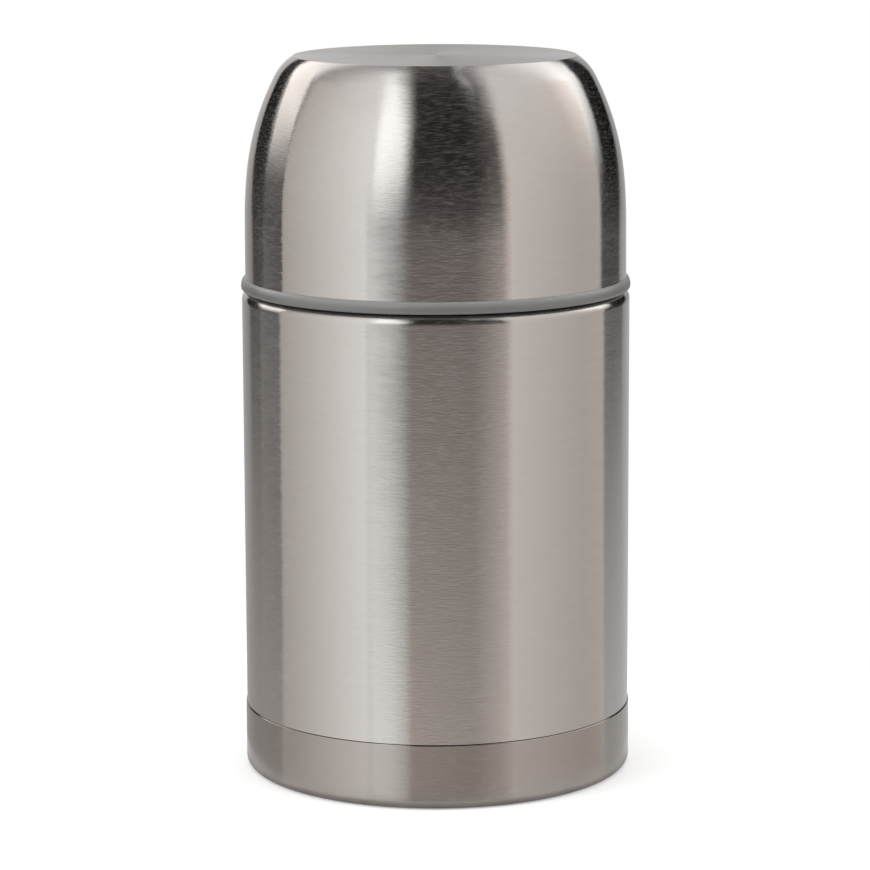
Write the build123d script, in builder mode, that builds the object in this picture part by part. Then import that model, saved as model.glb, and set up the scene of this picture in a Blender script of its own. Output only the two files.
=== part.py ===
from build123d import *
import os
from math import asin, cos, degrees, radians, sin, tan

# Vacuum food jar, in millimetres. The origin is the middle of the foot, +Z is up.

# Steel body
body_radius = 50.0
shoulder_height = 125.2
shoulder_round = 2.5
shell_wall = 0.5
liner_wall = 0.5
vacuum_gap = 3.2

# Base cap, pressed over the set-in skirt of the body
cap_seam_height = 16.9
cap_seam_gap = 0.3
cap_wall = 0.6
cap_proud = 0.25
cap_fit = 0.05
cap_round = 2.2
foot_width = 8.0
foot_lift = 1.2
skirt_end_height = 3.0

# Disc that closes the vacuum space, with its evacuation hole
closing_wall = 0.6
closing_height = 7.0
closing_lip = 4.0
dimple_radius = 6.0
dimple_lift = 1.2
vent_radius = 1.0

# Food cavity
cavity_floor_height = 12.5
cavity_round = 8.0
foil_thickness = 0.15
foil_foot_margin = 12.0
foil_top_margin = 6.0
getter_radius = 6.0
getter_height = 1.6
getter_pan_wall = 0.4

# Neck, with its lip, the seal's ledge and the gap between its two walls
neck_height = 12.8
neck_gap = 1.8
lip_round = 0.9
rim_round_share = 0.8
ledge_depth = 17.0
ledge_width = 2.9
ledge_skirt = 2.0
flare_height = 5.0

# Screw threads: the cup's is on the outside of the neck, the stopper's inside
thread_play = 0.4
thread_root = 0.2
thread_tip_width = 0.9
cup_thread_lead = 16.0
cup_thread_starts = 4
cup_thread_depth = 1.2
cup_thread_width = 1.8
cup_thread_rise = 3.5
neck_ridge_turn = 80.0
cup_ridge_turn = 50.0
stopper_thread_lead = 14.0
stopper_thread_starts = 3
stopper_thread_depth = 1.1
stopper_thread_width = 2.0
stopper_thread_drop = 11.5
liner_ridge_turn = 90.0
plug_ridge_turn = 80.0

# Cup: a straight mouth, three arcs and a flat top
mouth_set_in = 0.88
cup_wall = 0.5
cup_liner_wall = 1.3
cup_glue = 0.2
cup_straight = 14.75
cup_taper = 0.3
flank_radius = 125.0
flank_angle = 5.5
bend_radius = 69.0
bend_angle = 21.6
corner_radius = 13.4
corner_angle = 30.6
crease_round = 0.8

# Grey ring at the cup's mouth
ring_proud = 0.2
ring_rest_gap = 0.35
ring_height = 3.05
ring_foot_round = 0.9
ring_top_round = 0.8
ring_rib_depth = 0.6
ring_rib_height = 0.6
cup_liner_foot_lift = 0.175
running_gap = 0.3

# Stopper
seal_height = 2.2
seal_width = 3.0
seal_catch = 0.5
plug_wall = 2.0
plug_floor = 2.0
plug_nose_drop = 4.4
plug_top_drop = 2.0
collar_proud = 0.6
spigot_depth = 1.5
grip_set_in = 5.82
grip_height = 12.9
grip_wall = 2.0
grip_round = 2.5
grip_flutes = 12
flute_radius = 6.0
flute_depth = 1.3
foam_gap = 0.2

# Vent valve in the middle of the stopper
button_radius = 9.0
button_wall = 1.2
button_top = 1.8
button_skirt = 7.0
button_sink = 0.2
button_round = 0.8
button_boss_wall = 1.4
button_boss_end = 1.5
well_wall = 1.5
well_depth = 10.0
stem_radius = 2.0
guide_wall = 1.7
vent_seal_radius = 6.0
vent_seal_height = 1.2
washer_radius = 4.2
washer_height = 0.8
stem_head_radius = 3.0
stem_head_height = 0.8
spring_radius = 5.6
spring_wire = 0.4
spring_turns = 4.5

# Radii that follow, from the outside in
cap_radius = body_radius + cap_proud
skirt_radius = cap_radius - cap_wall - cap_fit
cavity_radius = body_radius - shell_wall - vacuum_gap - liner_wall
mouth_radius = body_radius - mouth_set_in
cup_bore = mouth_radius - cup_wall - cup_glue - cup_liner_wall
neck_radius = cup_bore - thread_play - cup_thread_depth
neck_bore = neck_radius - shell_wall - neck_gap - liner_wall
ledge_radius = neck_bore - ledge_width
plug_radius = neck_bore - thread_play - stopper_thread_depth
seal_radius = plug_radius
nose_radius = seal_radius - seal_width - running_gap
collar_radius = neck_bore - thread_play
grip_radius = collar_radius - grip_set_in
guide_bore = stem_radius + running_gap
guide_radius = guide_bore + guide_wall
well_radius = button_radius + running_gap

# Heights that follow, from the shoulder up and down
rim_height = shoulder_height + neck_height
ledge_height = rim_height - ledge_depth
plug_foot_height = ledge_height + seal_height
nose_height = plug_foot_height - plug_nose_drop
plug_floor_height = nose_height + plug_floor
plug_top_height = rim_height - plug_top_drop
collar_height = rim_height + collar_proud
grip_top_height = collar_height + grip_height
well_floor_height = grip_top_height - well_depth
well_base_height = well_floor_height - well_wall
button_top_height = grip_top_height - button_sink
button_roof_height = button_top_height - button_top
cavity_top_height = ledge_height - ledge_skirt - flare_height
ring_foot_height = shoulder_height + ring_rest_gap
cup_mouth_height = ring_foot_height + ring_height


def corner(section, radius, height):
    """The corner of a section nearest to a radius and a height."""
    return section.vertices().sort_by_distance((radius, height))[0]


def dome_outline(inset, foot_height):
    """The cup's outline at a depth under its skin, from the mouth up to the middle of the top."""
    lean = radians(cup_taper)
    straight_top = cup_mouth_height + cup_straight
    radius = mouth_radius - cup_straight * tan(lean)
    height = straight_top
    arcs = []
    turn = cup_taper
    for arc_radius, arc_turn in (
        (flank_radius, flank_angle),
        (bend_radius, bend_angle),
        (corner_radius, corner_angle),
    ):
        middle = (radius - arc_radius * cos(radians(turn)), height - arc_radius * sin(radians(turn)))
        arcs.append([middle, arc_radius - inset, turn, arc_turn])
        turn += arc_turn
        radius = middle[0] + arc_radius * cos(radians(turn))
        height = middle[1] + arc_radius * sin(radians(turn))
    # The last arc ends where it meets the inside of the flat top
    top = height - inset
    middle, last_radius, last_start, _ = arcs[-1]
    arcs[-1][3] = degrees(asin((top - middle[1]) / last_radius)) - last_start
    spread = (cup_mouth_height - foot_height) * tan(lean)
    flank_foot = (mouth_radius - inset / cos(lean) + spread, foot_height)
    outline = []
    for middle, arc_radius, start, size in arcs:
        outline.append(CenterArc(middle, arc_radius, start, size))
    Line(flank_foot, outline[0] @ 0)
    crease = outline[-1] @ 1
    Line(crease, (0, crease.Y))
    return flank_foot, crease


def helical_ridge(radius, depth, root_width, lead, turn):
    """One thread ridge that starts on the XZ plane and climbs to the left; depth < 0 points inward."""
    side = 1 if depth > 0 else -1
    with BuildPart() as ridge:
        with BuildLine() as path:
            Helix(pitch=lead, height=lead * turn / 360, radius=radius)
        start = Plane(origin=path.line @ 0, x_dir=(1, 0, 0), z_dir=path.line % 0)
        with BuildSketch(start):
            with BuildLine():
                Polyline(
                    (-side * thread_root, -root_width / 2),
                    (0, -root_width / 2),
                    (depth, -thread_tip_width / 2),
                    (depth, thread_tip_width / 2),
                    (0, root_width / 2),
                    (-side * thread_root, root_width / 2),
                    close=True,
                )
            make_face()
        sweep(path=path.line, is_frenet=True)
    return ridge.part


def screw_places(height, starts, first_angle=0.0):
    """Where the starts of a thread begin, evenly round the axis."""
    return [
        Location((0, 0, height), (0, 0, first_angle + start * 360 / starts)) for start in range(starts)
    ]


# Outer shell: skirt, side, shoulder and neck, with the cup's thread rolled on the neck
neck_ridge = helical_ridge(
    neck_radius, cup_thread_depth, cup_thread_width, cup_thread_lead, neck_ridge_turn
)
neck_thread_height = shoulder_height + cup_thread_rise
seam_top = cap_seam_height + cap_seam_gap / 2
with BuildPart() as outer_shell:
    with BuildSketch(Plane.XZ) as shell_section:
        with BuildLine():
            Polyline(
                (skirt_radius, skirt_end_height),
                (skirt_radius, seam_top),
                (body_radius, seam_top),
                (body_radius, shoulder_height),
                (neck_radius, shoulder_height),
                (neck_radius, rim_height),
                (neck_radius - shell_wall, rim_height),
                (neck_radius - shell_wall, shoulder_height - shell_wall),
                (body_radius - shell_wall, shoulder_height - shell_wall),
                (body_radius - shell_wall, seam_top + shell_wall),
                (skirt_radius - shell_wall, seam_top + shell_wall),
                (skirt_radius - shell_wall, skirt_end_height),
                close=True,
            )
        make_face()
        fillet(corner(shell_section, body_radius, shoulder_height), shoulder_round)
        fillet(
            corner(shell_section, body_radius - shell_wall, shoulder_height - shell_wall),
            shoulder_round - shell_wall,
        )
        fillet(corner(shell_section, neck_radius, shoulder_height), lip_round)
        fillet(corner(shell_section, neck_radius, rim_height), shell_wall * rim_round_share)
    revolve(axis=Axis.Z)
    for place in screw_places(neck_thread_height, cup_thread_starts):
        add(neck_ridge.moved(place))
outer_shell.part.label = "outer_shell"

# Inner liner: rounded food cavity, ledge for the seal, neck and lip
liner_ridge = helical_ridge(
    neck_bore, -stopper_thread_depth, stopper_thread_width, stopper_thread_lead, liner_ridge_turn
)
liner_thread_height = rim_height - stopper_thread_drop
with BuildPart() as inner_liner:
    with BuildSketch(Plane.XZ) as liner_section:
        with BuildLine():
            Polyline(
                (0, cavity_floor_height),
                (cavity_radius, cavity_floor_height),
                (cavity_radius, cavity_top_height),
                (ledge_radius, ledge_height - ledge_skirt),
                (ledge_radius, ledge_height),
                (neck_bore, ledge_height),
                (neck_bore, rim_height),
                (neck_radius - shell_wall, rim_height),
                (neck_radius - shell_wall, rim_height - liner_wall),
                (neck_bore + liner_wall, rim_height - liner_wall),
                (neck_bore + liner_wall, ledge_height - liner_wall),
                (ledge_radius + liner_wall, ledge_height - liner_wall),
                (ledge_radius + liner_wall, ledge_height - ledge_skirt),
                (cavity_radius + liner_wall, cavity_top_height),
                (cavity_radius + liner_wall, cavity_floor_height - liner_wall),
                (0, cavity_floor_height - liner_wall),
                close=True,
            )
        make_face()
        fillet(corner(liner_section, cavity_radius, cavity_floor_height), cavity_round)
        fillet(
            corner(liner_section, cavity_radius + liner_wall, cavity_floor_height - liner_wall),
            cavity_round + liner_wall,
        )
        fillet(corner(liner_section, neck_bore, rim_height), lip_round)
    revolve(axis=Axis.Z)
    for place in screw_places(liner_thread_height, stopper_thread_starts):
        add(liner_ridge.moved(place))
inner_liner.part.label = "inner_liner"

# Disc that closes the vacuum, with a lip welded inside the skirt and a dimple over the hole
closing_radius = skirt_radius - shell_wall
with BuildPart() as vacuum_bottom:
    with BuildSketch(Plane.XZ):
        with BuildLine():
            Polyline(
                (vent_radius, closing_height + dimple_lift),
                (dimple_radius, closing_height + dimple_lift),
                (dimple_radius, closing_height),
                (closing_radius, closing_height),
                (closing_radius, closing_height - closing_lip),
                (closing_radius - closing_wall, closing_height - closing_lip),
                (closing_radius - closing_wall, closing_height - closing_wall),
                (dimple_radius - closing_wall, closing_height - closing_wall),
                (dimple_radius - closing_wall, closing_height + dimple_lift - closing_wall),
                (vent_radius, closing_height + dimple_lift - closing_wall),
                close=True,
            )
        make_face()
    revolve(axis=Axis.Z)
vacuum_bottom.part.label = "vacuum_bottom"

# Bead that fills the dimple and plugs the evacuation hole
dimple_floor_height = closing_height - closing_wall
with BuildPart() as vacuum_seal:
    with BuildSketch(Plane.XY.offset(dimple_floor_height)):
        Circle(dimple_radius - closing_wall)
    extrude(amount=dimple_lift)
    with BuildSketch(Plane.XY.offset(dimple_floor_height + dimple_lift)):
        Circle(vent_radius)
    extrude(amount=closing_wall)
vacuum_seal.part.label = "vacuum_seal"

# Foil wrapped round the straight part of the liner
foil_radius = cavity_radius + liner_wall
foil_foot_height = cavity_floor_height + foil_foot_margin
foil_top_height = cavity_top_height - foil_top_margin
with BuildPart() as radiation_foil:
    with BuildSketch(Plane.XY.offset(foil_foot_height)):
        Circle(foil_radius + foil_thickness)
        Circle(foil_radius, mode=Mode.SUBTRACT)
    extrude(amount=foil_top_height - foil_foot_height)
radiation_foil.part.label = "radiation_foil"

# Getter in its pan, under the middle of the liner's floor
pan_top_height = cavity_floor_height - liner_wall
with BuildPart() as getter_pan:
    with BuildSketch(Plane.XY.offset(pan_top_height)):
        Circle(getter_radius + getter_pan_wall)
    extrude(amount=-getter_pan_wall - getter_height)
    with BuildSketch(Plane.XY.offset(pan_top_height - getter_pan_wall)):
        Circle(getter_radius)
    extrude(amount=-getter_height, mode=Mode.SUBTRACT)
getter_pan.part.label = "getter_pan"

with BuildPart() as getter:
    with BuildSketch(Plane.XY.offset(pan_top_height - getter_pan_wall)):
        Circle(getter_radius)
    extrude(amount=-getter_height)
getter.part.label = "getter"

# Base cap: a cup over the skirt that stands on a narrow foot, its middle raised
cap_bore = cap_radius - cap_wall
foot_radius = cap_radius - cap_round
panel_radius = foot_radius - foot_width
with BuildPart() as base_cap:
    with BuildSketch(Plane.XZ) as cap_section:
        with BuildLine():
            Polyline(
                (0, foot_lift),
                (panel_radius - foot_lift, foot_lift),
                (panel_radius, 0),
                (cap_radius, 0),
                (cap_radius, cap_seam_height - cap_seam_gap / 2),
                (cap_bore, cap_seam_height - cap_seam_gap / 2),
                (cap_bore, cap_wall),
                (panel_radius, cap_wall),
                (panel_radius - foot_lift, foot_lift + cap_wall),
                (0, foot_lift + cap_wall),
                close=True,
            )
        make_face()
        fillet(corner(cap_section, cap_radius, 0), cap_round)
        fillet(corner(cap_section, cap_bore, cap_wall), cap_round - cap_wall)
    revolve(axis=Axis.Z)
base_cap.part.label = "base_cap"

# Cup shell: thin steel with a crease round its flat top
with BuildPart() as cup_shell:
    with BuildSketch(Plane.XZ) as dome_section:
        with BuildLine():
            skin_foot, skin_crease = dome_outline(0, cup_mouth_height)
            lining_foot, lining_crease = dome_outline(cup_wall, cup_mouth_height)
            Line(skin_foot, lining_foot)
            Line((0, lining_crease.Y), (0, skin_crease.Y))
        make_face()
        fillet(corner(dome_section, skin_crease.X, skin_crease.Y), crease_round)
    revolve(axis=Axis.Z)
cup_shell.part.label = "cup_shell"

# Cup liner: plastic bowl with four ridges that hook under the neck's and a groove for the ring
liner_skin = cup_wall + cup_glue
bowl_foot_height = ring_foot_height + cup_liner_foot_lift
rib_height = (ring_foot_height + cup_mouth_height) / 2
rib_reach = ring_rib_depth + running_gap
groove_half = ring_rib_height / 2 + running_gap
cup_ridge = helical_ridge(cup_bore, -cup_thread_depth, cup_thread_width, cup_thread_lead, cup_ridge_turn)
cup_ridge_height = neck_thread_height - cup_thread_lead / cup_thread_starts / 2
cup_ridge_lead_in = (neck_ridge_turn - cup_ridge_turn) / 2
with BuildPart() as cup_liner:
    with BuildSketch(Plane.XZ):
        with BuildLine():
            bowl_foot, bowl_crease = dome_outline(liner_skin, bowl_foot_height)
            bore_foot, bore_crease = dome_outline(liner_skin + cup_liner_wall, bowl_foot_height)
            Line(bowl_foot, bore_foot)
            Line((0, bore_crease.Y), (0, bowl_crease.Y))
        make_face()
        with Locations((bowl_foot[0], rib_height)):
            Rectangle(2 * rib_reach, 2 * groove_half, mode=Mode.SUBTRACT)
    revolve(axis=Axis.Z)
    lead_in_rise = cup_thread_lead * cup_ridge_lead_in / 360
    for place in screw_places(cup_ridge_height + lead_in_rise, cup_thread_starts, cup_ridge_lead_in):
        add(cup_ridge.moved(place))
cup_liner.part.label = "cup_liner"

# Ring: a soft bead that stands proud of the body, with a rib in the liner's groove
ring_bore = bowl_foot[0] + running_gap
with BuildPart() as cup_rim_ring:
    with BuildSketch(Plane.XZ) as ring_section:
        with BuildLine():
            Polyline(
                (ring_bore, ring_foot_height),
                (body_radius + ring_proud, ring_foot_height),
                (body_radius + ring_proud, cup_mouth_height),
                (ring_bore, cup_mouth_height),
                (ring_bore, rib_height + ring_rib_height / 2),
                (ring_bore - rib_reach, rib_height + ring_rib_height / 2),
                (ring_bore - rib_reach, rib_height - ring_rib_height / 2),
                (ring_bore, rib_height - ring_rib_height / 2),
                close=True,
            )
        make_face()
        fillet(corner(ring_section, body_radius + ring_proud, ring_foot_height), ring_foot_round)
        fillet(corner(ring_section, body_radius + ring_proud, cup_mouth_height), ring_top_round)
    revolve(axis=Axis.Z)
cup_rim_ring.part.label = "cup_rim_ring"

# Stopper body: plug with a nose that carries the seal, and three ridges outside
plug_ridge = helical_ridge(
    plug_radius, stopper_thread_depth, stopper_thread_width, stopper_thread_lead, plug_ridge_turn
)
plug_ridge_lead_in = (liner_ridge_turn - plug_ridge_turn) / 2
plug_ridge_height = (
    liner_thread_height
    - stopper_thread_lead / stopper_thread_starts / 2
    + stopper_thread_lead * plug_ridge_lead_in / 360
)
catch_radius = seal_radius - seal_width + seal_catch
catch_height = ledge_height - running_gap
with BuildPart() as stopper_body:
    with BuildSketch(Plane.XZ):
        with BuildLine():
            Polyline(
                (guide_bore, nose_height),
                (catch_radius, nose_height),
                (catch_radius, catch_height),
                (nose_radius, catch_height),
                (nose_radius, plug_foot_height),
                (plug_radius, plug_foot_height),
                (plug_radius, plug_top_height),
                (plug_radius - plug_wall, plug_top_height),
                (plug_radius - plug_wall, plug_foot_height + plug_floor),
                (nose_radius - plug_wall, plug_foot_height + plug_floor),
                (nose_radius - plug_wall, plug_floor_height),
                (guide_bore, plug_floor_height),
                close=True,
            )
        make_face()
    revolve(axis=Axis.Z)
    for place in screw_places(plug_ridge_height, stopper_thread_starts, plug_ridge_lead_in):
        add(plug_ridge.moved(place))
stopper_body.part.label = "stopper_body"

# Seal that sits flat on the liner's ledge
with BuildPart() as stopper_seal:
    with BuildSketch(Plane.XY.offset(ledge_height)):
        Circle(seal_radius)
        Circle(seal_radius - seal_width, mode=Mode.SUBTRACT)
    extrude(amount=seal_height)
stopper_seal.part.label = "stopper_seal"

# Stopper cap: collar, spigot in the plug, fluted grip and the button's well
spigot_radius = plug_radius - plug_wall
spigot_height = plug_top_height - spigot_depth
grip_bore = grip_radius - flute_depth - grip_wall
well_outer_radius = well_radius + well_wall
grip_roof_height = grip_top_height - grip_wall
with BuildPart() as stopper_cap:
    with BuildSketch(Plane.XZ) as grip_section:
        with BuildLine():
            Polyline(
                (guide_bore, well_base_height),
                (well_outer_radius, well_base_height),
                (well_outer_radius, grip_roof_height),
                (grip_bore, grip_roof_height),
                (grip_bore, plug_top_height),
                (spigot_radius - grip_wall, plug_top_height),
                (spigot_radius - grip_wall, spigot_height),
                (spigot_radius, spigot_height),
                (spigot_radius, plug_top_height),
                (collar_radius, plug_top_height),
                (collar_radius, collar_height),
                (grip_radius, collar_height),
                (grip_radius, grip_top_height),
                (well_radius, grip_top_height),
                (well_radius, well_floor_height),
                (guide_bore, well_floor_height),
                close=True,
            )
        make_face()
        fillet(corner(grip_section, grip_radius, grip_top_height), grip_round)
        fillet(corner(grip_section, collar_radius, collar_height), collar_proud)
    revolve(axis=Axis.Z)
    with BuildSketch(Plane.XY.offset(collar_height)):
        with PolarLocations(grip_radius - flute_depth + flute_radius, grip_flutes):
            Circle(flute_radius)
    extrude(amount=grip_height, mode=Mode.SUBTRACT)
stopper_cap.part.label = "stopper_cap"

# Foam that fills the plug and the grip
foam_step_height = spigot_height - foam_gap
foam_top_height = grip_roof_height - foam_gap
with BuildPart() as stopper_insulation:
    with BuildSketch(Plane.XZ):
        with BuildLine():
            Polyline(
                (guide_radius, plug_floor_height),
                (nose_radius - plug_wall - foam_gap, plug_floor_height),
                (nose_radius - plug_wall - foam_gap, plug_foot_height + plug_floor),
                (spigot_radius - foam_gap, plug_foot_height + plug_floor),
                (spigot_radius - foam_gap, foam_step_height),
                (grip_bore - foam_gap, foam_step_height),
                (grip_bore - foam_gap, foam_top_height),
                (well_outer_radius + foam_gap, foam_top_height),
                (well_outer_radius + foam_gap, well_base_height - foam_gap),
                (guide_radius, well_base_height - foam_gap),
                close=True,
            )
        make_face()
    revolve(axis=Axis.Z)
stopper_insulation.part.label = "stopper_insulation"

# Guide tube from the plug's floor to the underside of the well
with BuildPart() as valve_guide:
    with BuildSketch(Plane.XY.offset(plug_floor_height)):
        Circle(guide_radius)
        Circle(guide_bore, mode=Mode.SUBTRACT)
    extrude(amount=well_base_height - plug_floor_height)
valve_guide.part.label = "valve_guide"

# Button with its skirt, and a boss that grips the stem
boss_radius = stem_radius + button_boss_wall
boss_foot_height = button_top_height - button_skirt + button_boss_end
with BuildPart() as valve_button:
    with BuildSketch(Plane.XZ) as button_section:
        with BuildLine():
            Polyline(
                (0, button_roof_height),
                (stem_radius, button_roof_height),
                (stem_radius, boss_foot_height),
                (boss_radius, boss_foot_height),
                (boss_radius, button_roof_height),
                (button_radius - button_wall, button_roof_height),
                (button_radius - button_wall, button_top_height - button_skirt),
                (button_radius, button_top_height - button_skirt),
                (button_radius, button_top_height),
                (0, button_top_height),
                close=True,
            )
        make_face()
        fillet(corner(button_section, button_radius, button_top_height), button_round)
    revolve(axis=Axis.Z)
valve_button.part.label = "valve_button"

# Seal disc and washer under the plug's floor, held by the stem's riveted head
vent_seal_foot = nose_height - vent_seal_height
washer_foot = vent_seal_foot - washer_height
with BuildPart() as valve_seal:
    with BuildSketch(Plane.XY.offset(vent_seal_foot)):
        Circle(vent_seal_radius)
        Circle(stem_radius, mode=Mode.SUBTRACT)
    extrude(amount=vent_seal_height)
valve_seal.part.label = "valve_seal"

with BuildPart() as valve_washer:
    with BuildSketch(Plane.XY.offset(washer_foot)):
        Circle(washer_radius)
        Circle(stem_radius, mode=Mode.SUBTRACT)
    extrude(amount=washer_height)
valve_washer.part.label = "valve_washer"

with BuildPart() as valve_stem:
    with BuildSketch(Plane.XY.offset(washer_foot - stem_head_height)):
        Circle(stem_head_radius)
    extrude(amount=stem_head_height)
    with BuildSketch(Plane.XY.offset(washer_foot)):
        Circle(stem_radius)
    extrude(amount=button_roof_height - washer_foot)
valve_stem.part.label = "valve_stem"

# Spring between the well's floor and the button
spring_rise = button_roof_height - well_floor_height - 2 * spring_wire
with BuildPart() as valve_spring:
    with BuildLine() as coil:
        Helix(
            pitch=spring_rise / spring_turns,
            height=spring_rise,
            radius=spring_radius,
            center=(0, 0, well_floor_height + spring_wire),
        )
    with BuildSketch(Plane(origin=coil.line @ 0, z_dir=coil.line % 0)):
        Circle(spring_wire)
    sweep(path=coil.line, is_frenet=True)
valve_spring.part.label = "valve_spring"

pieces = [
    outer_shell,
    inner_liner,
    vacuum_bottom,
    vacuum_seal,
    radiation_foil,
    getter_pan,
    getter,
    base_cap,
    cup_shell,
    cup_liner,
    cup_rim_ring,
    stopper_body,
    stopper_seal,
    stopper_cap,
    stopper_insulation,
    valve_guide,
    valve_button,
    valve_stem,
    valve_spring,
    valve_seal,
    valve_washer,
]
os.makedirs("parts", exist_ok=True)
for piece in pieces:
    export_step(piece.part, f"parts/{piece.part.label}.step")
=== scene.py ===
# %% [markdown]
# # A steel food jar, dressed for the shelf
# The jar is a vacuum flask with a wide mouth: a steel body, a pressed base cap, and a
# bullet-shaped cup that screws on over a stopper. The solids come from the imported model, and this
# lesson gives them their skins and finishes. Every length below is in millimetres until it reaches
# a mesh.

# %% Open the frame
from math import acos, ceil, cos, degrees, pi, radians, sin, tan
import bmesh
import bpy
from mathutils import Matrix, Vector


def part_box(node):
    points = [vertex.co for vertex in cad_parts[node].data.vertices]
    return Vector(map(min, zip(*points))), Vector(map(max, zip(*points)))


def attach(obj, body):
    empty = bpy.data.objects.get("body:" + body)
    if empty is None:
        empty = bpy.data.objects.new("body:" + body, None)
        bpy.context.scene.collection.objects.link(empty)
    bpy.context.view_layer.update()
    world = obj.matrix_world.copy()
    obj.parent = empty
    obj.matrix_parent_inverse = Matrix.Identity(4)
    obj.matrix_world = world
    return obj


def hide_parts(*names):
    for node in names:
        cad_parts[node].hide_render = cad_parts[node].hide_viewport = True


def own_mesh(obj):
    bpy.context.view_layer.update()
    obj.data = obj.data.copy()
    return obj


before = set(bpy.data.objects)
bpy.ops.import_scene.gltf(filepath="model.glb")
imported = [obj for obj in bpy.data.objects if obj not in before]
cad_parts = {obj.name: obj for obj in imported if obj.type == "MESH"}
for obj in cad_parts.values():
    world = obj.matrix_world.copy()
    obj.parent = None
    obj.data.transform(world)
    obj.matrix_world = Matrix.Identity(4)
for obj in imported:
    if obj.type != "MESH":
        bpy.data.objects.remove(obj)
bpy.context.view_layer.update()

MM = 0.001

# %% [markdown]
# ## Sizes read from the solids
# A skin has to lie where its solid lies, so its main radii and heights are read from the solids'
# boxes instead of being typed in twice. What a box can't tell, such as the wall of the sheet, is
# written here.

# %% Read the main radii and heights
def reach(node):
    """The outer radius, the foot and the top of a solid, in millimetres."""
    low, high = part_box(node)
    return high.x / MM, low.z / MM, high.z / MM

body_radius, skirt_foot, rim_height = reach("outer_shell")
cap_radius, _, cap_top = reach("base_cap")
cup_radius, cup_mouth, cup_top = reach("cup_shell")
ring_radius, ring_foot, ring_top = reach("cup_rim_ring")
SHEET = 0.5          # the sheet's thickness
RING_GAP = 0.35      # between the shoulder and the ring over it
NECK_SET_IN = 3.6    # how far the neck lies inside the cup's radius
shoulder_height = ring_foot - RING_GAP
neck_radius = cup_radius - NECK_SET_IN
radii = {"body": body_radius, "cup": cup_radius, "neck": neck_radius, "ring": ring_radius}
print("radii:", {name: round(radius, 2) for name, radius in radii.items()})

# %% [markdown]
# ## The camera
# The jar is seen from a little above, through a long lens, so that its sides stay almost upright.
# The camera stands under a metre away and looks down by about ten degrees.

# %% Set up the camera
LOOK_DOWN = 10.414    # degrees
ROLL = -0.227
camera_data = bpy.data.cameras.new("camera")
camera_data.lens = 149.8
camera_data.sensor_width = 36.0
camera_data.clip_start = 0.01
camera = bpy.data.objects.new("camera", camera_data)
camera.location = (-0.00034, -0.9264, 0.25684)
tilt = Matrix.Rotation(radians(90 - LOOK_DOWN), 4, "X") @ Matrix.Rotation(radians(ROLL), 4, "Z")
camera.rotation_euler = tilt.to_euler()
bpy.context.scene.collection.objects.link(camera)
bpy.context.scene.camera = camera
print("camera at", [round(c, 3) for c in camera.location])

# %% [markdown]
# ## Spun sheet metal
# A spun or drawn part is a closed outline turned round the axis. Real sheet has no sharp corners:
# each fold has a small radius, and that radius is what catches a line of light. So the outline is
# drawn as corners with a radius each, and every flat gets a ring of points just past the bend,
# which keeps the shading of the flat flat.

# %% Draw an outline with rounded corners
BEND = 0.12          # the radius of a plain folded edge
HOLD = 0.3           # how far past a bend the holding ring lies
ARC_STEP = 11        # degrees of a bend between two points
MOST_OF_SIDE = 0.49  # the share of a side that one bend may take

def rounded(corners):
    """Corners (radius, height, bend) of a closed outline as points, each bend drawn as an arc."""
    points = []
    for index, (r, z, bend) in enumerate(corners):
        here = Vector((r, z))
        to_last = Vector(corners[index - 1][:2]) - here
        to_next = Vector(corners[(index + 1) % len(corners)][:2]) - here
        if bend == 0:
            points.append((r, z))
            continue
        room = min(to_last.length, to_next.length)
        to_last.normalize()
        to_next.normalize()
        opening = acos(max(-1.0, min(1.0, to_last.dot(to_next))))
        setback = min(bend / tan(opening / 2), MOST_OF_SIDE * room)
        bend = setback * tan(opening / 2)
        middle = here + (to_last + to_next).normalized() * (bend / sin(opening / 2))
        start = here + to_last * setback - middle
        end = here + to_next * setback - middle
        sweep = start.angle_signed(end)
        steps = max(3, ceil(abs(degrees(sweep)) / ARC_STEP))
        hold = min(HOLD, 0.2 * (room - setback))
        points.append(tuple(here + to_last * (setback + hold)))
        for step in range(steps + 1):
            spoke = Matrix.Rotation(-sweep * step / steps, 2) @ start
            points.append(tuple(middle + spoke))
        points.append(tuple(here + to_next * (setback + hold)))
    return points

print("a square corner becomes", len(rounded([(0, 0, 0), (9, 0, 1), (9, 9, 0)])) - 2, "points")

# %% [markdown]
# A piece is built in bmesh and then put in the scene. A skin also rides its body, and the solid
# that it stands for is hidden.

# %% Put a finished mesh in the scene
def built(name, work):
    """A bmesh as an object in the scene."""
    mesh = bpy.data.meshes.new(name)
    work.to_mesh(mesh)
    work.free()
    thing = bpy.data.objects.new(name, mesh)
    bpy.context.scene.collection.objects.link(thing)
    return thing

def skin(name, work, body, node):
    """A bmesh as a smooth piece that rides its body in place of its solid."""
    bmesh.ops.recalc_face_normals(work, faces=work.faces)
    piece = built(name, work)
    piece.data.shade_smooth()
    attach(piece, body)
    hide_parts(node)
    print(name, "has", len(piece.data.vertices), "points and rides", body)
    return piece

print("ready to place meshes")

# %% [markdown]
# The outline is spun ring by ring. A point on the axis becomes one vertex. The optional push moves
# points outwards by where they are, which is how a rolled thread is pressed into a wall.

# %% Spin an outline into a piece
SIDES = 288
ON_AXIS = 0.001

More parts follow.
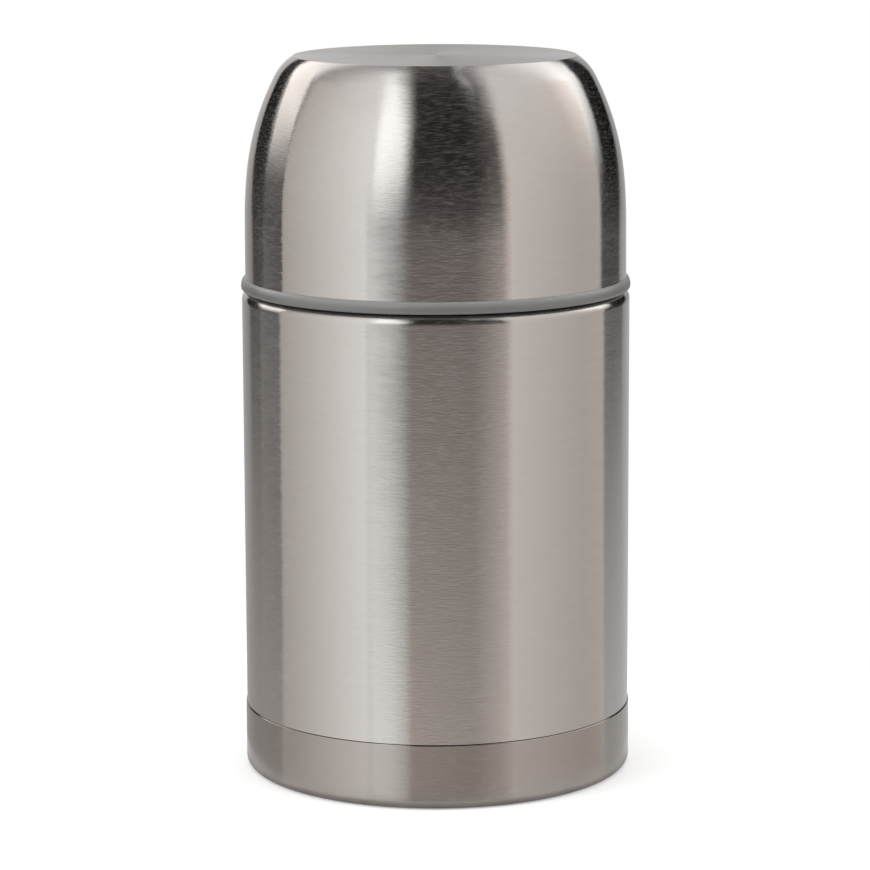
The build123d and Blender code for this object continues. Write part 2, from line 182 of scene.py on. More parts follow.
def spun(name, outline, body, node, push=None):
    """A closed outline spun round the axis. The push leaves what lies inside the neck's radius."""
    work = bmesh.new()
    rings = []
    for r, z in outline:
        if r < ON_AXIS:
            rings.append([work.verts.new((0, 0, z * MM))])
            continue
        ring = []
        for side in range(SIDES):
            turn = 2 * pi * side / SIDES
            out = r + (push(turn, z) if push and r > neck_radius - 0.01 else 0)
            ring.append(work.verts.new((out * cos(turn) * MM, out * sin(turn) * MM, z * MM)))
        rings.append(ring)
    for lower, upper in zip(rings, rings[1:] + rings[:1]):
        if len(lower) == 1 and len(upper) == 1:
            continue
        for side in range(SIDES):
            after = (side + 1) % SIDES
            corners = [lower[side % len(lower)], lower[after % len(lower)]]
            corners += [upper[after % len(upper)], upper[side % len(upper)]]
            work.faces.new(list(dict.fromkeys(corners)))
    return skin(name, work, body, node)

print("spun pieces have", SIDES, "sides")

# %% [markdown]
# ## The body
# One drawn tube makes the side, the rounded shoulder and the neck. It ends in a set-in skirt that
# the base cap is pressed over. The neck carries four short thread starts. They are rolled into the
# sheet, so they swell out of it softly and fade at both ends.

# %% Shape of the rolled thread
THREAD_STARTS = 4
THREAD_LEAD = 16.0
THREAD_SPAN = 80.0       # degrees that one start runs round the neck
THREAD_FADE = 12.0       # degrees over which it rises at each end
THREAD_RISE = 1.15
THREAD_HALF_WIDTH = 1.1
thread_foot = shoulder_height + 3.5

def eased(share):
    """0 to 1, slow at both ends."""
    share = max(0.0, min(1.0, share))
    return share * share * (3 - 2 * share)

def neck_swell(turn, height):
    """How far the rolled thread stands out of the neck at a place, in millimetres."""
    tallest = 0.0
    for start in range(THREAD_STARTS):
        along = (degrees(turn) - 360 / THREAD_STARTS * start) % 360
        if along > THREAD_SPAN:
            continue
        middle = thread_foot + THREAD_LEAD * along / 360
        fade = eased(along / THREAD_FADE) * eased((THREAD_SPAN - along) / THREAD_FADE)
        across = eased(1 - abs(height - middle) / THREAD_HALF_WIDTH)
        tallest = max(tallest, THREAD_RISE * fade * across)
    return tallest

halfway = THREAD_SPAN / 2
print("thread height in the middle of a start:",
      neck_swell(radians(halfway), thread_foot + THREAD_LEAD * halfway / 360))

# %% Spin the body
SHOULDER_BEND = 2.3
NECK_FILLET = 0.9
LIP_BEND = 0.4
SEAM_GAP = 0.09        # the dark line between base cap and body
SKIRT_SET_IN = 0.65    # how far the skirt lies inside the cap's radius
NECK_START, NECK_ROW, NECK_ROWS = 1.2, 0.22, 51    # the rings of points that the thread can lift
seam = cap_top + SEAM_GAP
skirt = cap_radius - SKIRT_SET_IN
neck_wall = [(neck_radius, shoulder_height + NECK_START + NECK_ROW * row, 0)
             for row in range(NECK_ROWS)]
body_skin = spun("jar_body", rounded([
    (skirt, skirt_foot, 0), (skirt, seam, 0), (body_radius, seam, BEND),
    (body_radius, shoulder_height, SHOULDER_BEND), (neck_radius, shoulder_height, NECK_FILLET),
    *neck_wall, (neck_radius, rim_height, LIP_BEND), (neck_radius - SHEET, rim_height, 0),
    (neck_radius - SHEET, shoulder_height - SHEET, 0),
    (body_radius - SHEET, shoulder_height - SHEET, SHOULDER_BEND - 0.3),
    (body_radius - SHEET, seam + SHEET, 0), (skirt - SHEET, seam + SHEET, 0),
    (skirt - SHEET, skirt_foot, 0),
]), "jar", "outer_shell", neck_swell)

# %% [markdown]
# ## The base cap
# A shallow steel cup is pressed over the skirt, a hair wider than the body. It stands on a narrow
# ring, and its middle is raised, so that the jar doesn't rock. A thin dark line shows where it
# meets the body.

# %% Spin the base cap
CAP_SHEET = 0.6
FOOT_BEND = 2.2
FOOT_WIDTH = 10.2    # of the ring that the jar stands on, with its bend
DISH = 1.2           # how high the middle is raised
foot_inside = cap_radius - FOOT_WIDTH
dish_edge = foot_inside - DISH
cap_bore = cap_radius - CAP_SHEET
base_skin = spun("jar_base", rounded([
    (0, DISH, 0), (dish_edge, DISH, 0.6), (foot_inside, 0, 0.6), (cap_radius, 0, FOOT_BEND),
    (cap_radius, cap_top, 0.18), (cap_bore, cap_top, 0.08),
    (cap_bore, CAP_SHEET, FOOT_BEND - CAP_SHEET), (foot_inside, CAP_SHEET, 0),
    (dish_edge, DISH + CAP_SHEET, 0), (0, DISH + CAP_SHEET, 0),
]), "jar", "base_cap")

# %% [markdown]
# ## The cup
# The cup is drawn from one sheet as well: almost straight at the mouth, then three arcs that
# tighten towards the top, then a crisp crease round a flat, turned disc. Each arc starts at the
# angle where the last one ended, so that the bands of light run over the joints without a kink.

# %% Outline of the dome
CUP_STRAIGHT = 14.75
CUP_LEAN = 0.3                                            # degrees that the straight mouth leans in
CUP_ARCS = ((125.0, 5.5), (69.0, 21.6), (13.4, 30.6))     # radius, and degrees that it turns
STRAIGHT_ROWS = (0.15, 0.4, 5, 10)

def dome(inset, steps_per_degree=1.5):
    """The cup's outline from the mouth to the crease, at a depth under its skin."""
    lean = CUP_LEAN
    r, z = cup_radius - CUP_STRAIGHT * tan(radians(lean)), cup_mouth + CUP_STRAIGHT
    points = [(cup_radius - inset - rise * tan(radians(lean)), cup_mouth + rise)
              for rise in STRAIGHT_ROWS]
    for bend, sweep in CUP_ARCS:
        mid_r, mid_z = r - bend * cos(radians(lean)), z - bend * sin(radians(lean))
        steps = ceil(sweep * steps_per_degree)
        for step in range(steps + 1):
            turn = radians(lean + sweep * step / steps)
            points.append((mid_r + (bend - inset) * cos(turn), mid_z + (bend - inset) * sin(turn)))
        lean += sweep
        r, z = mid_r + bend * cos(radians(lean)), mid_z + bend * sin(radians(lean))
    return [point for index, point in enumerate(points) if index == 0 or point != points[index - 1]]

print("the dome ends at", [round(c, 2) for c in dome(0)[-1]], "and the cup at", round(cup_top, 2))

# %% Spin the cup
CREASE_BEND = 0.7
outside = [(r, z, 0) for r, z in dome(0)[:-1]]
inside = [(r, z, 0) for r, z in dome(SHEET) if z < cup_top - SHEET - 0.05]
crease_radius = dome(0)[-1][0]
cup_skin = spun("cup_skin", rounded([
    (cup_radius, cup_mouth, 0.04), *outside, (crease_radius, cup_top, CREASE_BEND),
    (crease_radius - 1.2, cup_top, 0), (crease_radius * 0.6, cup_top, 0), (0, cup_top, 0),
    (0, cup_top - SHEET, 0), *reversed(inside), (cup_radius - SHEET, cup_mouth, 0.1),
]), "cup", "cup_shell")

# %% [markdown]
# ## The ring at the cup's mouth
# A soft grey bead closes the gap between cup and body. It stands a little proud of both, its upper
# half leans in towards the cup, and a rib behind it sits in the cup's lining.

# %% Spin the ring
RING_WIDTH = 2.65
RIB_DEPTH = 0.6
RIB_HALF = 0.3       # half of the rib's height
ring_bore = ring_radius - RING_WIDTH
rib = (ring_foot + ring_top) / 2
ring_skin = spun("cup_ring_bead", rounded([
    (ring_bore, ring_foot, 0.1), (ring_radius, ring_foot, 0.7), (ring_radius, ring_top - 1.5, 3.0),
    (ring_radius - 0.35, ring_top - 0.5, 1.0), (ring_radius - 0.95, ring_top, 0.15),
    (cup_radius - 0.35, ring_top, 0), (ring_bore, ring_top, 0.1), (ring_bore, rib + RIB_HALF, 0),
    (ring_bore - RIB_DEPTH, rib + RIB_HALF, 0.1), (ring_bore - RIB_DEPTH, rib - RIB_HALF, 0.1),
    (ring_bore, rib - RIB_HALF, 0),
]), "cup_ring", "cup_rim_ring")

# %% [markdown]
# ## The valve's spring
# The spring stands under the stopper's button and shortens as the button is pressed. It is wound
# as one piece of round wire. Half a turn lies flat at each end, as on a ground spring.

# %% Wind the spring
SPRING_WIRE = 0.4      # the wire's radius
SPRING_TURNS = 4.5
FLAT_TURNS = 0.5
WIRE_SIDES = 12
spring_radius, spring_foot, spring_top = reach("valve_spring")

def wound(name, body, node):
    """A round wire led round the axis, from the spring's foot to its top."""
    rise = spring_top - spring_foot - 2 * SPRING_WIRE
    steps = ceil(SPRING_TURNS * 36)
    work = bmesh.new()
    rings = []
    for step in range(steps + 1):
        done = SPRING_TURNS * step / steps
        share = max(0.0, min(1.0, (done - FLAT_TURNS) / (SPRING_TURNS - 2 * FLAT_TURNS)))
        ring = []
        for side in range(WIRE_SIDES):
            tip = 2 * pi * side / WIRE_SIDES
            r = spring_radius - SPRING_WIRE + SPRING_WIRE * cos(tip)
            z = spring_foot + SPRING_WIRE + rise * share + SPRING_WIRE * sin(tip)
            x, y = r * cos(2 * pi * done), r * sin(2 * pi * done)
            ring.append(work.verts.new((x * MM, y * MM, z * MM)))
        rings.append(ring)
    for last, ring in zip(rings, rings[1:]):
        for side in range(WIRE_SIDES):
            after = (side + 1) % WIRE_SIDES
            work.faces.new((last[side], last[after], ring[after], ring[side]))
    work.faces.new(rings[0])
    work.faces.new(rings[-1])
    return skin(name, work, body, node)

spring_coil = wound("button_spring", "stopper", "valve_spring")
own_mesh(spring_coil)

# %% [markdown]
# ## Shared effects as node groups
# Three effects come back in many finishes, so each is built once as a node group and placed with
# its own values. The first is grain that runs round the axis, as a brush or a lathe leaves it. It
# gives fine lines and broader streaks. Inward says which way the lines follow a surface that turns
# flat.

# %% Helpers for node trees
def place(tree, kind, values=None, **settings):
    """A node with its settings, and values for its unlinked inputs."""
    node = tree.nodes.new(kind)
    for name, value in settings.items():
        setattr(node, name, value)
    for name, value in (values or {}).items():
        node.inputs[name].default_value = value
    return node

def sums(tree, operation, *terms):
    """A Math node's output. Each term is a number or another node's output."""
    node = place(tree, "ShaderNodeMath", operation=operation)
    for socket, term in zip(node.inputs, terms):
        if isinstance(term, (int, float)):
            socket.default_value = term
        else:
            tree.links.new(term, socket)
    return node.outputs[0]

def new_group(name, inputs, outputs):
    """An empty node group with named sockets: (kind, default) for inputs, kind for outputs."""
    group = bpy.data.node_groups.new(name, "ShaderNodeTree")
    add = group.interface.new_socket
    for socket_name, (kind, default) in inputs.items():
        socket = add(socket_name, in_out="INPUT", socket_type="NodeSocket" + kind)
        if default is not None:
            socket.default_value = default
    for socket_name, kind in outputs.items():
        add(socket_name, in_out="OUTPUT", socket_type="NodeSocket" + kind)
    entry = group.nodes.new("NodeGroupInput")
    leave = group.nodes.new("NodeGroupOutput")
    return group, entry.outputs, leave.inputs

print("helpers ready")

# %% Build the turned grain
def build_turned_grain():
    group, given, out = new_group(
        "Turned grain",
        {"Position": ("Vector", None), "Line width": ("Float", 0.4), "Line length": ("Float", 14.0),
         "Inward": ("Float", 1.0), "Seed": ("Float", 0.0)},
        {"Lines": "Float", "Streaks": "Float"},
    )
    split = place(group, "ShaderNodeSeparateXYZ")
    group.links.new(given["Position"], split.inputs[0])
    x, y, z = split.outputs
    squares = sums(group, "ADD", sums(group, "MULTIPLY", x, x), sums(group, "MULTIPLY", y, y))
    radius = sums(group, "SQRT", squares)
    across = sums(group, "SUBTRACT", z, sums(group, "MULTIPLY", radius, given["Inward"]))
    for name, width, length, detail in (("Lines", 1.0, 1.0, 3.0), ("Streaks", 4.0, 3.5, 2.0)):
        fine = sums(group, "DIVIDE", 1 / MM / width, given["Line width"])
        long = sums(group, "DIVIDE", 1 / MM / length, given["Line length"])
        joined = place(group, "ShaderNodeCombineXYZ")
        shifted = sums(group, "ADD", sums(group, "MULTIPLY", across, fine), given["Seed"])
        group.links.new(sums(group, "MULTIPLY", x, long), joined.inputs[0])
        group.links.new(sums(group, "MULTIPLY", y, long), joined.inputs[1])
        group.links.new(shifted, joined.inputs[2])
        shape = {"Scale": 1.0, "Detail": detail, "Roughness": 0.6}
        noise = place(group, "ShaderNodeTexNoise", shape)
        group.links.new(joined.outputs[0], noise.inputs["Vector"])
        group.links.new(noise.outputs["Fac"], out[name])
    return group

turned_grain = build_turned_grain()
print("built", turned_grain.name, "with", len(turned_grain.nodes), "nodes")

# %% [markdown]
# Each brushed line also leans a little to the left or right of its neighbours. That is what frays
# the upright edges of a reflection on brushed steel, and plain bump can't show it, because the
# lines are far longer than they are wide. The second group leans the normal round the axis by a
# grain value.

# %% Build the line lean
def build_line_lean():
    group, given, out = new_group(
        "Line lean",
        {"Position": ("Vector", None), "Grain": ("Float", 0.5), "Lean": ("Float", 0.03)},
        {"Normal": "Vector"},
    )
    around = place(group, "ShaderNodeVectorMath", operation="CROSS_PRODUCT")
    around.inputs[0].default_value = (0, 0, 1)
    group.links.new(given["Position"], around.inputs[1])
    unit = place(group, "ShaderNodeVectorMath", operation="NORMALIZE")
    group.links.new(around.outputs[0], unit.inputs[0])
    amount = sums(group, "MULTIPLY", sums(group, "SUBTRACT", given["Grain"], 0.5), given["Lean"])
    aside = place(group, "ShaderNodeVectorMath", operation="SCALE")
    group.links.new(unit.outputs[0], aside.inputs[0])
    group.links.new(amount, aside.inputs["Scale"])
    surface = place(group, "ShaderNodeNewGeometry")
    leaned = place(group, "ShaderNodeVectorMath", operation="ADD")
    group.links.new(surface.outputs["Normal"], leaned.inputs[0])
    group.links.new(aside.outputs[0], leaned.inputs[1])
    even = place(group, "ShaderNodeVectorMath", operation="NORMALIZE")
    group.links.new(leaned.outputs[0], even.inputs[0])
    group.links.new(even.outputs[0], out["Normal"])
    return group

line_lean = build_line_lean()
print("built", line_lean.name)

# %% [markdown]
# The third group is for moulded and soft pieces: a fine pebbled height, as a sparked mould leaves
# it, and a slow cloudy mask for handling, which makes some places a little smoother than others.

# %% Build the moulded grain
def build_moulded_grain():
    group, given, out = new_group(
        "Moulded grain", {"Position": ("Vector", None), "Grain size": ("Float", 0.35)},
        {"Pebbles": "Float", "Handling": "Float"},
    )
    grain = place(group, "ShaderNodeTexNoise", {"Detail": 3.0, "Roughness": 0.55})
    group.links.new(given["Position"], grain.inputs["Vector"])
    group.links.new(sums(group, "DIVIDE", 1 / MM, given["Grain size"]), grain.inputs["Scale"])
    group.links.new(grain.outputs["Fac"], out["Pebbles"])
    cloud = place(group, "ShaderNodeTexNoise", {"Scale": 55.0, "Detail": 3.0, "Roughness": 0.6})
    group.links.new(given["Position"], cloud.inputs["Vector"])
    group.links.new(cloud.outputs["Fac"], out["Handling"])
    return group

moulded_grain = build_moulded_grain()
print("built", moulded_grain.name)

# %% [markdown]
# ## Finishes
# A finish is one Principled shader with the groups' values led into it. The first helper starts
# such a material and hands back its shader and the place on the surface.

# %% Start a material
def start_finish(name, shader_values):
    """A new material, its Principled shader and the object position output."""
    material = bpy.data.materials.new(name)
    material.use_nodes = True
    tree = material.node_tree
    shader = tree.nodes["Principled BSDF"]
    for socket, value in shader_values.items():
        shader.inputs[socket].default_value = value
    place_on = place(tree, "ShaderNodeTexCoord").outputs["Object"]
    return material, tree, shader, place_on

def grouped(tree, group, links, values):
    """A node group placed in a material, with links and values for its named inputs."""
    node = place(tree, "ShaderNodeGroup", node_tree=group)
    for name, output in links.items():
        tree.links.new(output, node.inputs[name])
    for name, value in values.items():
        node.inputs[name].default_value = value
    return node

def ranged(tree, value, start, end, low, high, **settings):
    """A value that goes from low to high while the given one goes from start to end."""
    limits = {"From Min": start, "From Max": end, "To Min": low, "To Max": high}
    node = place(tree, "ShaderNodeMapRange", limits, **settings)
    tree.links.new(value, node.inputs["Value"])
    return node.outputs["Result"]

def spread(tree, noise, low, high):
    """A noise mask, which keeps to its middle half, as a value from low to high."""
    return ranged(tree, noise, 0.25, 0.75, low, high)

def tinted(tree, noise, colour, shift):
    """A colour that a noise mask makes a share darker or lighter."""
    node = place(tree, "ShaderNodeMix", data_type="RGBA")
    for end, gain in (("A", 1 - shift), ("B", 1 + shift)):
        node.inputs[end].default_value = (*(min(1.0, channel * gain) for channel in colour), 1)
    tree.links.new(spread(tree, noise, 0.0, 1.0), node.inputs["Factor"])
    return node.outputs["Result"]

def added(tree, *values):
    """The sum of two values, as one output."""
    return sums(tree, "ADD", *values)

GRAIN_DEPTH = 0.00002

def lifted(tree, shader, height, strength, base=None):
    """Grain as a bump on the shader's normal, over another normal if one is given."""
    bump = place(tree, "ShaderNodeBump", {"Strength": strength, "Distance": GRAIN_DEPTH})
    if base is not None:
        tree.links.new(base, bump.inputs["Normal"])
    tree.links.new(height, bump.inputs["Height"])
    tree.links.new(bump.outputs["Normal"], shader.inputs["Normal"])

print("finish helpers ready")

# %% [markdown]
# Brushed steel keeps its reflections sharp round the jar but smears them along it, because its
# fine grooves run round the axis. The Tangent node gives the direction of the grooves and
# Anisotropic the smear. The lines lean the normal, lift it a little, and tint the colour by a few
# percent. Some of them are a little less metallic, which stands for the light that fine scratches
# scatter to all sides.

# %% Brushed steel
LINE_LENGTH = 2.4
STEEL_SHIFT = 0.03
SCRATCHES_FROM = 0.47    # the height of a line above which it counts as a scratch
SCRATCH_DULLS = 0.5      # how much less metallic a scratch is, for each unit above that
STREAK_DULLS = 0.02      # roughness that a streak adds or takes
TOUCH_DULLS = 0.01       # roughness that handling adds or takes

def brushed_steel(name, colour, roughness, line_width, lean, lift, inward=1.0, smear=1.0, seed=0.0):
    material, tree, shader, position = start_finish(
        name, {"Anisotropic": smear, "Anisotropic Rotation": 0.25})
    brush = {"Line width": line_width, "Line length": LINE_LENGTH, "Inward": inward, "Seed": seed}
    grain = grouped(tree, turned_grain, {"Position": position}, brush)
    lines, streaks = grain.outputs["Lines"], grain.outputs["Streaks"]
    clouds = grouped(tree, moulded_grain, {"Position": position}, {})
    leaned = grouped(tree, line_lean, {"Position": position, "Grain": lines}, {"Lean": lean})
    lifted(tree, shader, lines, lift, leaned.outputs["Normal"])
    mixed = added(tree, sums(tree, "MULTIPLY", lines, 0.5), sums(tree, "MULTIPLY", streaks, 0.5))
    tree.links.new(tinted(tree, mixed, colour, STEEL_SHIFT), shader.inputs["Base Color"])
    scratches = sums(tree, "MAXIMUM", sums(tree, "SUBTRACT", lines, SCRATCHES_FROM), 0.0)
    metallic = sums(tree, "SUBTRACT", 1.0, sums(tree, "MULTIPLY", scratches, SCRATCH_DULLS))
    tree.links.new(metallic, shader.inputs["Metallic"])
    rough = added(tree, spread(tree, streaks, roughness - STREAK_DULLS, roughness + STREAK_DULLS),
                  spread(tree, clouds.outputs["Handling"], -TOUCH_DULLS, TOUCH_DULLS))
    tree.links.new(rough, shader.inputs["Roughness"])
    tangent = place(tree, "ShaderNodeTangent", direction_type="RADIAL", axis="Z")
    tree.links.new(tangent.outputs[0], shader.inputs["Tangent"])
    return material

STEEL = (0.62, 0.59, 0.565)
BROWN_STEEL = (0.466, 0.43, 0.4)
LINER_STEEL = (0.63, 0.61, 0.59)
body_steel = brushed_steel("brushed body steel", STEEL, 0.16, 0.42, 0.017, 0.9)
cup_steel = brushed_steel("brushed cup steel", STEEL, 0.14, 0.42, 0.019, 1.0, seed=7.0)
base_steel = brushed_steel("brushed base steel", BROWN_STEEL, 0.18, 0.5, 0.02, 0.8,
                           inward=-1.0, seed=3.0)
liner_steel = brushed_steel("drawn liner steel", LINER_STEEL, 0.34, 0.6, 0.03, 0.3,
                            inward=-1.0, smear=0.5)
print("four steels")

# %% [markdown]
# The other pieces are moulded plastic, silicone and small metal parts. They share one recipe: a
# colour that shifts with handling, a pebbled height and a roughness that follows both. The ring's
# colour pales upwards to its upper edge: a painted highlight, for light falling from above.

# %% Moulded finishes
HANDLING = 0.05    # roughness that handling adds or takes
PEBBLES = 0.03     # roughness that the pebbles add or take
METAL = {"Metallic": 1.0}

def painted_top_highlight(tree, colour, position, low, high, gain):
    """A painted highlight: a colour that gets a gain from one height to another, in millimetres."""
    split = place(tree, "ShaderNodeSeparateXYZ")
    tree.links.new(position, split.inputs[0])
    scaled = place(tree, "ShaderNodeVectorMath", operation="SCALE")
    tree.links.new(colour, scaled.inputs[0])
    share = ranged(tree, split.outputs["Z"], low * MM, high * MM, 1.0, gain)
    tree.links.new(share, scaled.inputs["Scale"])
    return scaled.outputs[0]

def moulded(name, colour, roughness, grain_size, lift, shift=0.06, top_highlight=None, sockets=None):
    """The top highlight is (from height, to height, gain), a painted highlight. The sockets are
    further values for the shader.
    """
    material, tree, shader, position = start_finish(name, sockets or {})
    grain = grouped(tree, moulded_grain, {"Position": position}, {"Grain size": grain_size})
    pebbles, handling = grain.outputs["Pebbles"], grain.outputs["Handling"]
    lifted(tree, shader, pebbles, lift)
    paint = tinted(tree, handling, colour, shift)
    if top_highlight:
        paint = painted_top_highlight(tree, paint, position, *top_highlight)
    tree.links.new(paint, shader.inputs["Base Color"])
    rough = added(tree, spread(tree, handling, roughness - HANDLING, roughness + HANDLING),
                  spread(tree, pebbles, -PEBBLES, PEBBLES))
    tree.links.new(rough, shader.inputs["Roughness"])
    return material

# The ring's colour gains half again towards its top edge: a painted highlight for light from above.
ring_grey = moulded("satin grey ring", (0.18, 0.18, 0.177), 0.36, 0.5, 0.12,
                    top_highlight=(ring_top - 1.6, ring_top - 0.1, 1.5), sockets={"Specular IOR Level": 0.9})
bowl_plastic = moulded("cup lining plastic", (0.3, 0.3, 0.295), 0.38, 0.3, 0.2)
plug_plastic = moulded("stopper plug plastic", (0.28, 0.28, 0.28), 0.45, 0.3, 0.25)
grip_plastic = moulded("stopper grip plastic", (0.12, 0.12, 0.125), 0.42, 0.28, 0.35)
button_plastic = moulded("button plastic", (0.34, 0.34, 0.345), 0.3, 0.25, 0.15)
seal_silicone = moulded("seal silicone", (0.62, 0.62, 0.6), 0.5, 0.4, 0.2,
                        sockets={"Subsurface Weight": 0.1})
foam_fill = moulded("foam fill", (0.7, 0.67, 0.58), 0.9, 1.2, 1.0)
foil_metal = moulded("bright foil", (0.8, 0.8, 0.8), 0.22, 3.0, 0.6, sockets=METAL)
getter_metal = moulded("getter pill", (0.1, 0.1, 0.105), 0.8, 0.2, 0.5)
seal_glass = moulded("sealing glass", (0.08, 0.1, 0.09), 0.15, 2.0, 0.3)
bright_steel = moulded("bright small steel", (0.66, 0.66, 0.65), 0.25, 0.5, 0.1, sockets=METAL)
print(len(bpy.data.materials), "materials so far")

# %% [markdown]
# ## Hand the finishes out
# A solid whose shape is already right keeps its mesh and only gets a finish. The skins made above
# get theirs in the same way.

# %% Assign the finishes
def finish_with(thing, material):
    thing.data.materials.clear()
    thing.data.materials.append(material)

skin_finishes = (
    (body_skin, body_steel), (base_skin, base_steel), (cup_skin, cup_steel), (ring_skin, ring_grey),
    (spring_coil, bright_steel),
)
for piece, material in skin_finishes:
    finish_with(piece, material)

node_finishes = {
    "inner_liner": liner_steel, "vacuum_bottom": liner_steel, "vacuum_seal": seal_glass,
    "radiation_foil": foil_metal, "getter_pan": bright_steel, "getter": getter_metal,
    "cup_liner": bowl_plastic, "stopper_body": plug_plastic, "stopper_insulation": foam_fill,
    "stopper_cap": grip_plastic, "stopper_seal": seal_silicone, "valve_button": button_plastic,
    "valve_stem": bright_steel, "valve_guide": plug_plastic, "valve_seal": seal_silicone,
    "valve_washer": bright_steel,
}
for node, material in node_finishes.items():
    finish_with(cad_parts[node], material)
print(len(skin_finishes), "skins are dressed, and", len(node_finishes), "solids keep their shape")

# %% [markdown]
# ## The studio
# Steel shows its surroundings more than itself, so the studio is part of the finish. White all
# round, with cards that stand where a photographer would put them: wide panels to the left and
# right, a dark flag in front, a bright strip beside it, dark flags and high windows at the far
# sides, which draw the edges. The cards only show in reflections.

# %% White world
SOFT_SHARE = 0.5    # how much of the white lights the plastic and the floor
world = bpy.data.worlds.new("white studio")
bpy.context.scene.world = world
world.use_nodes = True
tree = world.node_tree
ray = place(tree, "ShaderNodeLightPath").outputs
seen = sums(tree, "MAXIMUM", ray["Is Camera Ray"],
            sums(tree, "MAXIMUM", ray["Is Glossy Ray"], ray["Is Transmission Ray"]))
strength = added(tree, sums(tree, "MULTIPLY", seen, 1 - SOFT_SHARE), SOFT_SHARE)
background = tree.nodes["Background"]
background.inputs["Color"].default_value = (1, 1, 1, 1)
tree.links.new(strength, background.inputs["Strength"])
print("world ready")

# %% [markdown]
# The floor is a small pale disc that fades into the white, so that no horizon shows. To the camera
# it also glows a little, which keeps it white around the jar and leaves only the soft shadow at
# the foot. The steel doesn't mirror it, so the cards' bands run right down to the foot.

# %% Floor that fades into the white
FLOOR_RADIUS = 0.3
FADE_FROM, FADE_TO = 0.07, 0.2
FLOOR_GLOW = 0.3

def build_floor():
    work = bmesh.new()
    bmesh.ops.create_circle(work, cap_ends=True, segments=96, radius=FLOOR_RADIUS)
    floor = built("floor", work)
    floor.visible_glossy = False
    matt = {"Roughness": 0.9, "Specular IOR Level": 0.0}
    material, tree, shader, position = start_finish("pale floor", matt)
    shader.inputs["Base Color"].default_value = (0.9, 0.9, 0.9, 1)
    shader.inputs["Emission Color"].default_value = (1, 1, 1, 1)
    to_camera = place(tree, "ShaderNodeLightPath").outputs["Is Camera Ray"]
    own_light = sums(tree, "MULTIPLY", to_camera, FLOOR_GLOW)
    tree.links.new(own_light, shader.inputs["Emission Strength"])
    length = place(tree, "ShaderNodeVectorMath", operation="LENGTH")
    tree.links.new(position, length.inputs[0])
    fade = ranged(tree, length.outputs["Value"], FADE_FROM, FADE_TO, 0.0, 1.0,
                  interpolation_type="SMOOTHSTEP")
    clear = place(tree, "ShaderNodeBsdfTransparent")
    blend = place(tree, "ShaderNodeMixShader")
    tree.links.new(fade, blend.inputs[0])
    tree.links.new(shader.outputs[0], blend.inputs[1])
    tree.links.new(clear.outputs[0], blend.inputs[2])
    tree.links.new(blend.outputs[0], tree.nodes["Material Output"].inputs["Surface"])
    finish_with(floor, material)

build_floor()
print("floor", 2 * FLOOR_RADIUS, "m across")

# %% [markdown]
# A card is a sheet of light. Its corners are given in rows, from low to high and from left to
# right, and each corner has a brightness. Between the corners place and brightness run evenly, so
# a card can lean, can have a soft edge, and can be brighter at one end, as a lit panel is. Cards
# hang on the studio's round wall or on its flat ceiling, and a nearer card covers a further one.

# %% Places on the studio's wall and ceiling
STEPS = 8
CENTRE = Vector((0, 0, 0.1))

def on_wall(turn, lift, distance):
    """A place by its angle from the camera's side, negative to the left, and its angle upwards."""
    turn, lift = radians(turn), radians(lift)
    return CENTRE + distance * Vector((cos(lift) * sin(turn), -cos(lift) * cos(turn), sin(lift)))

def on_ceiling(sideways, back, height):
    """A place by its way right and back from over the jar, as shares of the ceiling's height."""
    return CENTRE + height * Vector((sideways, back, 1))

print("straight in front, 5 m away:", [round(c, 2) for c in on_wall(0, 0, 5)])

# %% Light that a card gives off
card_light = bpy.data.materials.new("card light")
card_light.use_nodes = True
tree = card_light.node_tree
tree.nodes.remove(tree.nodes["Principled BSDF"])
lit = place(tree, "ShaderNodeEmission")
glow = place(tree, "ShaderNodeAttribute", attribute_name="glow")
tree.links.new(glow.outputs["Color"], lit.inputs["Color"])
tree.links.new(lit.outputs[0], tree.nodes["Material Output"].inputs["Surface"])
print("cards glow by their corners' values")

# %% Build a studio card
PLAIN = ((1, 1, 1), (1, 1, 1))

def studio_card(name, rows, tints=PLAIN, distance=5.0, put=on_wall):
    """A card from rows of corners. The tints colour its left and its right end."""
    work = bmesh.new()
    glow = work.verts.layers.float_color.new("glow")
    columns = len(rows[0]) - 1
    for lower, upper in zip(rows, rows[1:]):
        for column in range(columns):
            pairs = (*lower[column:column + 2], *upper[column:column + 2])
            corners = [Vector(corner) for corner in pairs]
            grid = []
            for up in range(STEPS + 1):
                left = corners[0].lerp(corners[2], up / STEPS)
                right = corners[1].lerp(corners[3], up / STEPS)
                line = []
                for across in range(STEPS + 1):
                    *where, level = left.lerp(right, across / STEPS)
                    point = work.verts.new(put(*where, distance))
                    along = (column + across / STEPS) / columns
                    tint = Vector(tints[0]).lerp(Vector(tints[1]), along)
                    point[glow] = (*(level * tint), 1)
                    line.append(point)
                grid.append(line)
            for low, high in zip(grid, grid[1:]):
                for side in range(STEPS):
                    work.faces.new((low[side], low[side + 1], high[side + 1], high[side]))
    card = built(name, work)
    card.visible_camera = False
    card.visible_diffuse = False
    card.visible_shadow = False
    finish_with(card, card_light)

def ceiling_card(name, rows, tints=PLAIN, height=2.9):
    """A card on the ceiling, or below the jar if the height is negative."""
    studio_card(name, rows, tints, height, on_ceiling)

print("cards are patches of", STEPS, "by", STEPS)

# %% [markdown]
# The light isn't quite white. A tint is a pair of colours, for a card's left and its right end.

